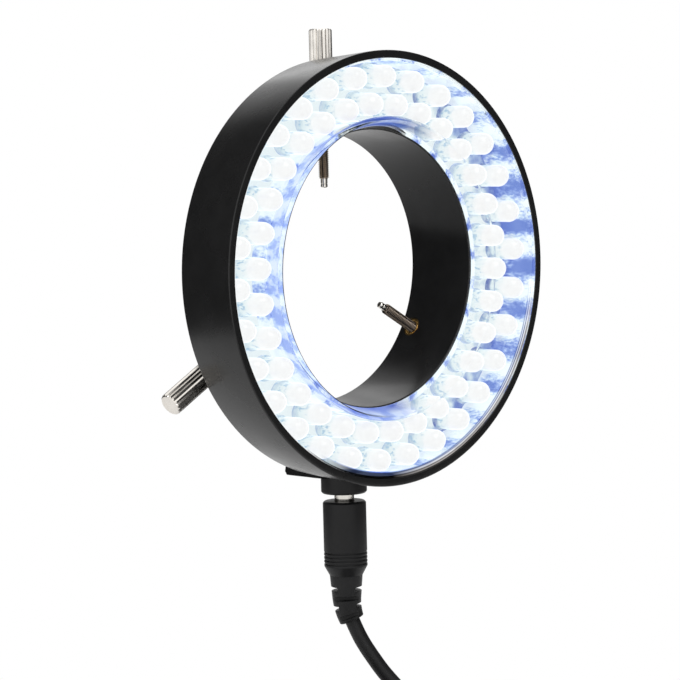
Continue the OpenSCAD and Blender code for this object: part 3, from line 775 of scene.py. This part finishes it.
def led_epoxy(name, flange):
    """Lit epoxy: white at the dome, pale cyan down the body, and towards +X painted shade at its foot, in
    patches of the colour given as flange.
    """
    material = new_material(name, (0.8, 0.9, 1.0), 0.12, ior=1.5, emission_strength=0.86)
    place = own_place(material)
    height = rising(material, place["Z"], BOARD_DEPTH * MM, (BOARD_DEPTH - LED_H) * MM)
    shift_by = spread(material, noise(material, 620.0, 4.0), -0.06, 0.06)
    glow = shades(material, total(material, height, shift_by), [
        (0.0, (0.34, 0.45, 0.68)), (0.08, (0.6, 0.72, 0.82)), (0.16, (0.68, 0.81, 0.86)),
        (0.24, (0.82, 0.92, 0.93)), (0.38, (0.88, 0.95, 0.95)), (0.5, (0.93, 0.97, 0.965)),
        (0.6, (1.0, 1.0, 0.99)), (1.0, (1.0, 0.99, 0.98)),
    ])
    marks = spread(material, noise(material, 1300.0, 3.0, (1, 1, 0.55), 0.6), 0.0, 0.85, 0.53, 0.62)
    fine = product(material, marks, falling(material, height, 0.4, 0.56))
    glow = mixed(material, fine, glow, (0.36, 0.56, 0.74))
    # Painted shade: patches at the foot towards +X.
    foot = product(
        material, falling(material, height, 0.1, 0.19), rising(material, place["X"], 6 * MM, 22 * MM),
    )
    dark = product(material, foot, spread(material, noise(material, 520.0, 3.0), 0.2, 1.0, 0.38, 0.6))
    plug_in(material, mixed(material, dark, glow, flange), "Emission Color")
    slow = noise(material, 900.0, 3.0)
    tint = shades(material, slow, [(0.3, (0.06, 0.07, 0.08)), (0.7, (0.1, 0.11, 0.11))])
    plug_in(material, tint, "Base Color")
    uneven_gloss(material, 700.0, 3.0, 0.08, 0.2)
    uneven_face(material, 1500.0, 0.05, 0.0001)
    return material


def board_laminate():
    """Circuit board: painted LED light in its glow and colour, bright near the LEDs, weaker towards +X,
    uneven, and dim blue towards its outer edge.
    """
    material = new_material("board_laminate", (0.2, 0.32, 0.8), 0.4, emission_strength=0.82)
    light = spread(material, own_reach(material, (1, 0, 1)), 0.85, -0.35, 41 * MM, 47 * MM)
    light = total(material, light, spread(material, own_place(material)["X"], 0.35, 0.0, 10 * MM, 30 * MM))
    light = total(material, light, spread(material, noise(material, 380.0, 6.0), -0.25, 0.55))
    glow = shades(material, light, [
        (0.0, (0.14, 0.2, 0.54)), (0.4, (0.36, 0.47, 0.72)),
        (0.85, (0.76, 0.87, 0.9)), (1.0, (0.9, 0.97, 0.97)),
    ])
    plug_in(material, glow, "Emission Color")
    # Painted shade: the base colour is darker where the painted light is weak.
    tint = shades(material, light, [(0.0, (0.03, 0.05, 0.12)), (0.9, (0.1, 0.12, 0.13))])
    plug_in(material, tint, "Base Color")
    uneven_gloss(material, 900.0, 3.0, 0.3, 0.5)
    uneven_face(material, 2600.0, 0.1, 0.00005)
    return material


def strap_cloth():
    """Woven strap: two sets of threads that cross."""
    material = new_material("strap_cloth", (0.02, 0.02, 0.022), 0.8)
    values = [("Vector", coords(material)), ("Scale", 520.0), ("Distortion", 1.2)]
    along = add_node(material, "ShaderNodeTexWave", values + [("Detail", 2.0)])
    across = add_node(material, "ShaderNodeTexWave", values, bands_direction="Z")
    weave = product(material, along.outputs["Fac"], across.outputs["Fac"])
    tint = shades(material, weave, [(0.1, (0.012, 0.012, 0.013)), (0.8, (0.045, 0.045, 0.048))])
    plug_in(material, tint, "Base Color")
    plug_in(material, fade(material, weave, 0.9, 0.65), "Roughness")
    plug_in(material, bump(material, weave, 0.6, 0.0003), "Normal")
    return material


rim_wall = lit_wall("lit_rim_wall", ROWS["leds_outer"][1])
tube_wall = lit_wall("lit_tube_wall", ROWS["leds_inner"][1])
clear = clear_plastic()
skirt = lit_skirt()
# The second colour is the painted shade at the LEDs' feet, deeper for the outer row.
inner_epoxy = led_epoxy("inner_led_epoxy", (0.4, 0.52, 0.76))
outer_epoxy = led_epoxy("outer_led_epoxy", (0.05, 0.09, 0.4))
laminate = board_laminate()
cloth = strap_cloth()
ceramic = moulded("resistor_ceramic", (0.03, 0.033, 0.042), 0.35, 0.5, 3000.0, 0.1)
red_skin = moulded("red_wire_skin", (0.42, 0.02, 0.015), 0.35, 0.5, 2600.0, 0.08, 1.15)
black_skin = moulded("black_wire_skin", (0.012, 0.012, 0.012), 0.35, 0.5, 2600.0, 0.08)


# Housing: its material slots are black, rim wall, tube wall and bore wall
RING_SIDES = 224


def combine(base, other, operation):
    step = base.modifiers.new("step", "BOOLEAN")
    step.operation = operation
    step.solver = "EXACT"
    step.object = other
    bpy.context.view_layer.update()
    graph = bpy.context.evaluated_depsgraph_get()
    mesh = bpy.data.meshes.new_from_object(base.evaluated_get(graph))
    base.modifiers.clear()
    base.data = mesh
    bpy.data.objects.remove(other)


def cylinder(radius, low, high, place):
    bm = bmesh.new()
    revolve(bm, [(0, low), (radius, low), (radius, high), (0, high)], 64)
    local = RIM.inverted() @ place
    local.translation /= MM
    bmesh.ops.transform(bm, matrix=local, verts=bm.verts)
    return add_object("cutter", mesh_of(bm, "cutter"))


def housing_slot(r, depth):
    if r < BORE_R + 0.15 and TUBE_FRONT + 0.3 < depth < TOTAL_DEPTH - 0.4:
        return 3
    if abs(r - inner_r(depth)) < 0.62 and 0.3 < depth < BOARD_BACK:
        return 1
    tube = BORE_R + 0.3 < r < TUBE_R + 1.1 and TUBE_FRONT - 0.1 < depth < BOARD_BACK + 0.1
    return 2 if tube else 0


def socket_block():
    """Block on the collar that holds the power socket, with its edges rounded."""
    foot = COLLAR_R - EDGE
    bm = bmesh.new()
    revolve(bm, [
        (foot, RING_DEPTH - EDGE), (BOSS_TOP_R - EDGE, RING_DEPTH - EDGE),
        (BOSS_TOP_R - EDGE, RING_DEPTH), (BLOCK_R, RING_DEPTH), (BLOCK_R, TOTAL_DEPTH - EDGE),
        (BLOCK_R - EDGE, TOTAL_DEPTH), (foot - 1, TOTAL_DEPTH), (foot - 1, RING_DEPTH),
    ], 20, 90 - BLOCK_SPAN / 2, BLOCK_SPAN)
    sharp = [e for e in bm.edges if len(e.link_faces) == 2 and e.calc_face_angle() > math.radians(25)]
    bmesh.ops.bevel(bm, geom=sharp, offset=0.55, segments=3, profile=0.5, affect="EDGES")
    return add_object("block", mesh_of(bm, "block"))


def add_housing():
    ledge = inner_r(BOARD_BACK) - SEAT_W
    rib = inner_r(RIB_START) - RIB_W
    floor = RING_DEPTH - REAR_WALL
    profile = rounded([
        (inner_r(0), 0, 0.22), (outer_r(0), 0, 0.3), (outer_r(RING_DEPTH - EDGE), RING_DEPTH - EDGE, 0.7),
        (outer_r(RING_DEPTH) - EDGE, RING_DEPTH, 0.5), (COLLAR_R, RING_DEPTH, 0.4),
        (COLLAR_R, TOTAL_DEPTH - EDGE, 0.6), (COLLAR_R - EDGE, TOTAL_DEPTH, 0.5),
        (BORE_R + 0.5, TOTAL_DEPTH, 0.3), (BORE_R, TOTAL_DEPTH - 0.5, 0.3),
        (BORE_R, TUBE_FRONT, 0.25), (TUBE_R, TUBE_FRONT, 0.2), (TUBE_R, BOARD_BACK),
        (TUBE_R + SEAT_W, BOARD_BACK), (TUBE_R + SEAT_W, floor, 0.4), (ledge, floor, 0.4),
        (ledge, BOARD_BACK), (inner_r(BOARD_BACK), BOARD_BACK), (inner_r(RIB_END), RIB_END),
        (rib, RIB_END), (rib, RIB_START), (inner_r(RIB_START), RIB_START),
    ])
    bm = bmesh.new()
    revolve(bm, profile, RING_SIDES, index=housing_slot)
    base = add_object("housing_work", mesh_of(bm, "housing_work"))
    for material in (black, rim_wall, tube_wall, bore_wall()):
        base.data.materials.append(material)
    combine(base, socket_block(), "UNION")
    holes = [
        (INSERT_R + PRESS_FIT, BORE_R - 1, COLLAR_R + 1, screw_frame(angle)) for angle, _ in SCREWS.values()
    ]
    holes.append((JACK_R + JACK_FIT, JACK_START_R - 0.5, BOSS_END_R, SOCKET))
    holes.append((JACK_BOSS_R + JACK_FIT, BOSS_TOP_R, BOSS_END_R, SOCKET))
    for hole in holes:
        combine(base, cylinder(*hole), "DIFFERENCE")
    mesh = base.data
    bpy.data.objects.remove(base)
    place_mesh("housing_shell", mesh, RIM, "ring", [], ["housing"], 30)


add_housing()


# Clear cover: its material slots are the front, the skirt and the skirt's foot
def cover_slot(r, depth):
    if depth > FOOT_DEPTH and r < BORE_R + 0.5:
        return 2
    return 1 if depth > COVER_BACK + 0.2 or r < BORE_R + 2.1 else 0


def add_cover():
    rim = inner_r(RIB_START) - COVER_FIT
    lathe("cover", [
        (BORE_R + 1.9, COVER_FRONT, 0.25), (rim, COVER_FRONT, 0.15), (rim, COVER_BACK, 0.1),
        (BORE_R + 2.9, COVER_BACK, 0.3), (BORE_R + 1.283, FOOT_DEPTH), (BORE_R + 1.2, TUBE_FRONT, 0.1),
        (BORE_R + 0.2, TUBE_FRONT, 0.1), (BORE_R + 0.273, FOOT_DEPTH),
    ], RIM, "ring", [clear, skirt, skirt_end()], ["clear_cover"], RING_SIDES, cover_slot)


add_cover()


# LEDs: epoxy with a flange, and the leads behind it
def add_leds(name, radius, phase, epoxy):
    bm = bmesh.new()
    base = BOARD_DEPTH
    front = base - FLANGE_H
    top = base - LED_H
    dome = top + LED_R
    profile = [
        (0, base), (FLANGE_R - FLANGE_EDGE, base), (FLANGE_R, base - FLANGE_EDGE),
        (FLANGE_R, front + FLANGE_EDGE), (FLANGE_R - FLANGE_EDGE, front), (LED_R + 0.06, front),
        (LED_R, front - 0.08), (LED_R, (base + dome) / 2),
    ]
    for k in range(8):
        a = math.pi / 2 * k / 8
        profile.append((LED_R * math.cos(a), dome - LED_R * math.sin(a)))
    profile.append((0, top))
    lead = [
        (0, base - 0.5), (LEAD_R, base - 0.5), (LEAD_R, LEAD_END - 0.1),
        (LEAD_R - 0.13, LEAD_END), (0, LEAD_END),
    ]
    for i in range(LED_COUNT):
        before = set(bm.verts)
        revolve(bm, profile, 28, closed=False)
        for side in (-1, 1):
            rings = revolve(bm, lead, 10, index=lambda r, h: 1, closed=False)
            points = [v for ring in rings for v in ring]
            bmesh.ops.translate(bm, vec=(0, side * LEAD_SPREAD, 0), verts=points)
        added = [v for v in bm.verts if v not in before]
        place = turn(-(phase + 360 / LED_COUNT * i), "Z") @ Matrix.Translation((radius, 0, 0))
        bmesh.ops.transform(bm, matrix=place, verts=added)
    finish_piece(name + "_lit", bm, RIM, "ring", [epoxy, contact_metal], [name], 40)


add_leds("leds_inner", *ROWS["leds_inner"], inner_epoxy)
add_leds("leds_outer", *ROWS["leds_outer"], outer_epoxy)


# Thumbscrews: fluted knob, threaded stud and narrow tip, in a brass insert
def knob_outline():
    """Angles and radii round a knob: flutes with straight flanks and narrow floors, and narrow lands."""
    step = 2 * math.pi / FLUTES
    side = (FLUTE_EDGE + FLUTE_FLOOR) / 2
    flute = [
        (-FLUTE_EDGE, 0), (-side, FLUTE_DEPTH / 2), (-FLUTE_FLOOR, FLUTE_DEPTH),
        (FLUTE_FLOOR, FLUTE_DEPTH), (side, FLUTE_DEPTH / 2), (FLUTE_EDGE, 0), (step / 2, 0),
    ]
    return [(step * i + off, KNOB_R - cut) for i in range(FLUTES) for off, cut in flute]


def add_knob(name, place, body, metal):
    """Knob with rounded edges, from height and growth, and turned end faces, from radius and dip."""
    bm = bmesh.new()
    outline = knob_outline()

    def ring_at(z, limit):
        spokes = [(a, min(r, limit)) for a, r in outline]
        return [bm.verts.new((r * math.cos(a), r * math.sin(a), z)) for a, r in spokes]

    rows = [(z, KNOB_R + grow) for z, grow in KNOB_EDGE]
    rows += [(KNOB_LEN - z, limit) for z, limit in reversed(rows)]
    rings = [ring_at(z, limit) for z, limit in rows]
    bridge(bm, rings, capped=False)
    for end, z, inward in ((rings[0], 0.0, 1), (rings[-1], KNOB_LEN, -1)):
        face = [end] + [ring_at(z + inward * dip, r) for r, dip in KNOB_FACE]
        bridge(bm, face, capped=False)
        bm.faces.new(face[-1])
    finish_piece(name + "_fluted", bm, place, body, [metal], [name], 24)


def add_stud(name, place, body, metal):
    """Stud with a right-hand helical thread."""
    bm = bmesh.new()
    sides, rows = 30, 8
    length = STUD_LEN + STUD_GRIP
    count = int(length / THREAD_PITCH * rows)
    rings = []
    for i in range(count + 1):
        z = length * i / count
        chamfer = 0.25 * max(0.0, 1 - z / 0.4)
        ring = []
        for k in range(sides):
            a = 2 * math.pi * k / sides
            t = (z / THREAD_PITCH - k / sides) % 1.0
            crest = min(1.0, max(0.0, (abs(2 * t - 1) - 0.12) / 0.72))
            r = THREAD_R - THREAD_DEPTH * (1 - crest) - chamfer
            ring.append(bm.verts.new((r * math.cos(a), r * math.sin(a), z)))
        rings.append(ring)
    bridge(bm, rings)
    finish_piece(name + "_threaded", bm, place, body, [metal], [name], 50)


def add_tip(name, place, body):
    end = TIP_LEN + TIP_GRIP
    groove = TIP_R - 0.06
    lathe(name + "_turned", [
        (0, 0), (TIP_R - 0.2, 0, 0.12), (TIP_R, 0.2, 0.1), (TIP_R, 0.75, 0.05), (groove, 0.82),
        (groove, 0.95), (TIP_R, 1.02, 0.05), (TIP_R, end, 0.1), (0, end),
    ], place, body, [nickel], [name], 40)


def add_insert(name, place):
    bore = INSERT_BORE
    length = COLLAR_R - BORE_R - 2 * INSERT_SET
    lathe(name + "_turned", [
        (bore, 0, 0.12), (bore + 0.32, 0, 0.05), (bore + 0.36, 0.1, 0.03), (bore + 0.48, 0.1, 0.03),
        (bore + 0.52, 0, 0.05), (INSERT_R, 0, 0.12), (INSERT_R, length, 0.12), (bore, length, 0.12),
    ], place, "ring", [brass], [name], 56)


for name, (angle, tip_r) in SCREWS.items():
    base = screw_frame(angle)
    stud_end = tip_r + TIP_LEN
    # Painted light: the top screw takes the lighter copies, though the three screws are alike.
    metal, thread = (satin_painted_light_nickel, painted_light_steel) if name == "top" else (nickel, steel)
    add_knob(f"knob_{name}", base @ shift(0, 0, stud_end + STUD_LEN), f"screw_{name}_body", metal)
    add_stud(f"stud_{name}", base @ shift(0, 0, stud_end), f"screw_{name}_body", thread)
    add_tip(f"tip_{name}", base @ shift(0, 0, tip_r), f"tip_{name}_body")
    add_insert(f"insert_{name}", base @ shift(0, 0, BORE_R + INSERT_SET))


# Power socket
lathe("jack_moulding", [
    (PIN_HOLE, JACK_START_R), (JACK_R, JACK_START_R, 0.2), (JACK_R, BOSS_TOP_R), (JACK_BOSS_R, BOSS_TOP_R),
    (JACK_BOSS_R, BOSS_END_R - 0.4, 0.3), (JACK_BOSS_R - 0.4, BOSS_END_R, 0.3),
    (JACK_BORE + 0.2, BOSS_END_R, 0.12), (JACK_BORE, BOSS_END_R - 0.2, 0.12),
    (JACK_BORE, JACK_FLOOR_R), (PIN_HOLE, JACK_FLOOR_R),
], SOCKET, "ring", [socket_plastic], ["jack_body"], 72)


# Plugs at both ends of the cord
def add_plug(name, place, body, bend):
    lathe(f"{name}_sleeve", [
        (SLEEVE_BORE, SLEEVE_END, 0.12), (SLEEVE_R - 0.4, SLEEVE_END, 0.15),
        (SLEEVE_R, SLEEVE_END + 0.4, 0.3), (SLEEVE_R, NECK_START, 0.08), (NECK_R, NECK_START, 0.05),
        (NECK_R, SLEEVE_ROOT), (SLEEVE_BORE, SLEEVE_ROOT),
    ], place, body, [nickel], [f"{name}_barrel"], 64)
    hole = NECK_R + PRESS_FIT
    root = SLEEVE_ROOT + PRESS_FIT
    floor = PLUG_R - GROOVE_DEPTH
    corners = [(hole, 0, 0.1), (PLUG_R - 0.4, 0, 0.25), (PLUG_R, 0.4, 0.3)]
    for i in range(GROOVES):
        z = PLUG_LEN - GROOVE_STEP * (GROOVES - i)
        corners += [
            (PLUG_R, z, 0.08), (floor, z + 0.03, 0.06),
            (floor, z + GROOVE_W - 0.03, 0.06), (PLUG_R, z + GROOVE_W, 0.08),
        ]
    corners += [
        (PLUG_R, PLUG_LEN, 0.5), (RELIEF_R, RELIEF_START, 0.15), (0, RELIEF_START), (0, root), (hole, root),
    ]
    lathe(f"{name}_moulding", corners, place, body, [plug_rubber], [f"{name}_body"], 80)
    add_relief(f"{name}_relief", place @ shift(0, 0, RELIEF_START), body, bend)


def relief_rows():
    """Rows along the relief: distance, the side that is slotted or None, and the depth of the cut or rim."""
    half = SLOT_HALF
    edge = [(half + 0.12, 0.0), (half + 0.03, 0.12), (half, 0.5), (half, 1.0), (0.15, 1.0)]
    rows = [(s, None, 0.0) for s in (0.0, 0.9, 1.8)]
    for i in range(SLOTS):
        s = SLOT_START + SLOT_STEP * i
        rows += [(s - off, i % 2, depth) for off, depth in edge]
        rows += [(s + off, i % 2, depth) for off, depth in reversed(edge)]
        rows.append((s + SLOT_STEP / 2, None, 0.0))
    rows = [row for row in rows if row[0] <= RELIEF_LEN - 0.25]
    return rows + [(RELIEF_LEN - 0.2, None, 0.0), (RELIEF_LEN - 0.06, None, -0.06), (RELIEF_LEN, None, -0.2)]


def add_relief(name, place, body, bend):
    """Tapered strain relief with slots on alternate sides."""
    sides = 72
    y_axis = Vector((0, 1, 0))
    bm = bmesh.new()
    rings = []
    for s, side, depth in relief_rows():
        full = RELIEF_R - RELIEF_TAPER * s / RELIEF_LEN
        centre = relief_point(s, bend)
        tilt = relief_angle(s, bend)
        x_axis = Vector((math.cos(tilt), 0, -math.sin(tilt)))
        ring = []
        for k in range(sides):
            a = 2 * math.pi * k / sides
            r = full + depth
            if side is not None:
                flat = abs(math.sin(a) if side else math.cos(a))
                cut = min(full, RELIEF_CORE / max(flat, 1e-3))
                r = full - (full - cut) * depth
            ring.append(bm.verts.new(centre + x_axis * (r * math.cos(a)) + y_axis * (r * math.sin(a))))
        rings.append(ring)
    bridge(bm, rings)
    finish_piece(name + "_moulded", bm, place, body, [plug_rubber], [name])


add_plug("plug", PLUG, "plug", RELIEF_BEND)
add_plug("far", FAR, "ring", 0.0)


# Strap round the coil: one band whose end laps over its start
def add_strap():
    hollow = COIL_INNER - CORD_D / 2
    inside = hollow - STRAP_W ** 2 / 8 / hollow - STRAP_GAP
    outside = COIL_OUTER + CORD_D / 2 + STRAP_GAP
    low = COIL_LOW - CORD_D / 2 - STRAP_GAP
    high = COIL_TOP + CORD_D / 2 + STRAP_GAP
    middle = (inside + outside) / 2
    steps = 6
    half_way = 2 * (steps + 1)

    def loop(grow):
        left, right = inside - grow, outside + grow
        bottom, top = low - grow, high + grow
        box = [(left, bottom), (left, top), (right, top), (right, bottom)]
        return rounded([(x, z, STRAP_CORNER + grow) for x, z in box], steps)

    def resample(points, gap=0.8):
        out = [Vector(points[0])]
        for a, b in zip(points, points[1:]):
            a, b = Vector(a), Vector(b)
            n = max(1, int((b - a).length / gap))
            out += [a + (b - a) * (k / n) for k in range(1, n + 1)]
        return out

    under, over = 0.5, 1.45
    first = loop(under)
    lap = loop(over)[half_way:half_way + 10]
    points = [(middle - 3, high + under)] + first[half_way:] + first[:half_way]
    points += [(middle + 1, high + 0.6)] + lap + [(outside + over, (low + high) / 2)]
    points = resample(points)
    w, t = STRAP_W / 2, STRAP_T / 2
    cells = [
        (-w, 0.17 - t), (0.2 - w, -t), (w - 0.2, -t), (w, 0.17 - t),
        (w, t - 0.17), (w - 0.2, t), (0.2 - w, t), (-w, t - 0.17),
    ]
    bm = bmesh.new()
    rings = []
    for i, p in enumerate(points):
        ahead = points[min(i + 1, len(points) - 1)] - points[max(i - 1, 0)]
        normal = Vector((-ahead.y, ahead.x)).normalized()
        spots = [(p + normal * off, width) for width, off in cells]
        rings.append([bm.verts.new((spot.x, width, spot.y)) for spot, width in spots])
    bridge(bm, rings)
    place = shift(COIL_MIDDLE.x, COIL_MIDDLE.y, 0) @ Matrix.Rotation(TIE_ANGLE, 4, "Z")
    finish_piece("strap", bm, place, "ring", [cloth], ["cord_tie"], 50)


add_strap()


# CAD pieces that keep their shape
KEPT = {
    "led_board": laminate, "board_resistors": ceramic, "wire_red": red_skin, "wire_black": black_skin,
    "jack_pin": brass, "jack_contact": contact_metal,
    "plug_insulator": socket_plastic, "plug_contact": brass,
    "far_insulator": socket_plastic, "far_contact": brass,
}
for name, material in KEPT.items():
    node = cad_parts[name]
    node.data.materials.clear()
    node.data.materials.append(material)


# Floor, light and background
WHITE = (1, 1, 1, 1)
FLOOR_R = 300
LAMP_SIZE = 0.7
LAMP_TARGET = Vector((0, 0, -0.02))
# Each patch has a direction, the cosines where it starts and is full, and its brightness
LIGHT_PATCHES = [
    ((0.5, 0.62, 0.6), 0.87, 0.98, 0.9),
    ((0.7, 0.7, 0.15), 0.84, 0.97, 0.95),
    ((0.6, 0.75, -0.3), 0.9, 0.98, 0.9),
    ((-0.8, -0.56, 0.2), 0.3, 0.6, 1.05),
    ((0.05, -0.1, 1.0), 0.7, 0.86, 1.15),
]


def mix_shaders(material, factor, first, second):
    return add_node(material, "ShaderNodeMixShader", enumerate((factor, first, second))).outputs[0]


def add_floor():
    bm = bmesh.new()
    bmesh.ops.create_circle(bm, cap_ends=True, segments=96, radius=FLOOR_R * MM)
    mesh = bpy.data.meshes.new("floor")
    bm.to_mesh(mesh)
    bm.free()
    floor = add_object("floor", mesh)
    floor.location.z = FLOOR_Z * MM
    material = bpy.data.materials.new("floor_white")
    material.use_nodes = True
    material.node_tree.nodes.clear()
    matte = add_node(material, "ShaderNodeBsdfDiffuse", [("Color", (0.9, 0.9, 0.9, 1))])
    glow = add_node(material, "ShaderNodeEmission", [("Strength", 1.0)])
    path = add_node(material, "ShaderNodeLightPath").outputs
    direct = total(material, path["Is Camera Ray"], product(material, path["Is Glossy Ray"], 0.1))
    direct = math_node(material, "ADD", direct, path["Is Transmission Ray"], clamp=True)
    away = spread(material, own_reach(material, (1, 1, 1)), 0.7, 1.0, 50 * MM, 110 * MM, "SMOOTHSTEP")
    seen = mix_shaders(material, product(material, direct, away), matte.outputs[0], glow.outputs[0])
    add_node(material, "ShaderNodeOutputMaterial", [("Surface", seen)])
    mesh.materials.append(material)


def add_world():
    """Even light, soft patches of light for the glossy surfaces to mirror, and white behind the part."""
    world = bpy.data.worlds.new("studio")
    scene.world = world
    world.use_nodes = True
    world.node_tree.nodes.clear()
    fill = add_node(world, "ShaderNodeBackground", [("Color", WHITE), ("Strength", 0.72)])
    white = add_node(world, "ShaderNodeBackground", [("Color", WHITE), ("Strength", 1.0)])
    place = add_node(world, "ShaderNodeTexCoord").outputs["Generated"]
    light = 0.0
    for direction, start, end, high in LIGHT_PATCHES:
        values = [(0, place), (1, Vector(direction).normalized())]
        dot = add_node(world, "ShaderNodeVectorMath", values, operation="DOT_PRODUCT")
        patch = spread(world, dot.outputs["Value"], 0.04, high, start, end, "SMOOTHSTEP")
        light = math_node(world, "MAXIMUM", light, patch)
    mirrored = add_node(world, "ShaderNodeBackground", [("Color", light), ("Strength", 1.0)])
    path = add_node(world, "ShaderNodeLightPath").outputs
    around = mix_shaders(world, path["Is Glossy Ray"], fill.outputs[0], mirrored.outputs[0])
    direct = math_node(world, "ADD", path["Is Camera Ray"], path["Is Transmission Ray"], clamp=True)
    seen = mix_shaders(world, direct, around, white.outputs[0])
    add_node(world, "ShaderNodeOutputWorld", [("Surface", seen)])


def add_lamp(name, where, power):
    data = bpy.data.lights.new(name, "AREA")
    data.energy = power
    data.size = LAMP_SIZE
    lamp = add_object(name, data)
    lamp.location = where
    lamp.rotation_euler = (LAMP_TARGET - Vector(where)).to_track_quat("-Z", "Y").to_euler()


add_floor()
add_world()
add_lamp("key", (-0.35, -0.55, 0.85), 4.0)
add_lamp("rim", (0.6, 0.5, 0.7), 1.6)
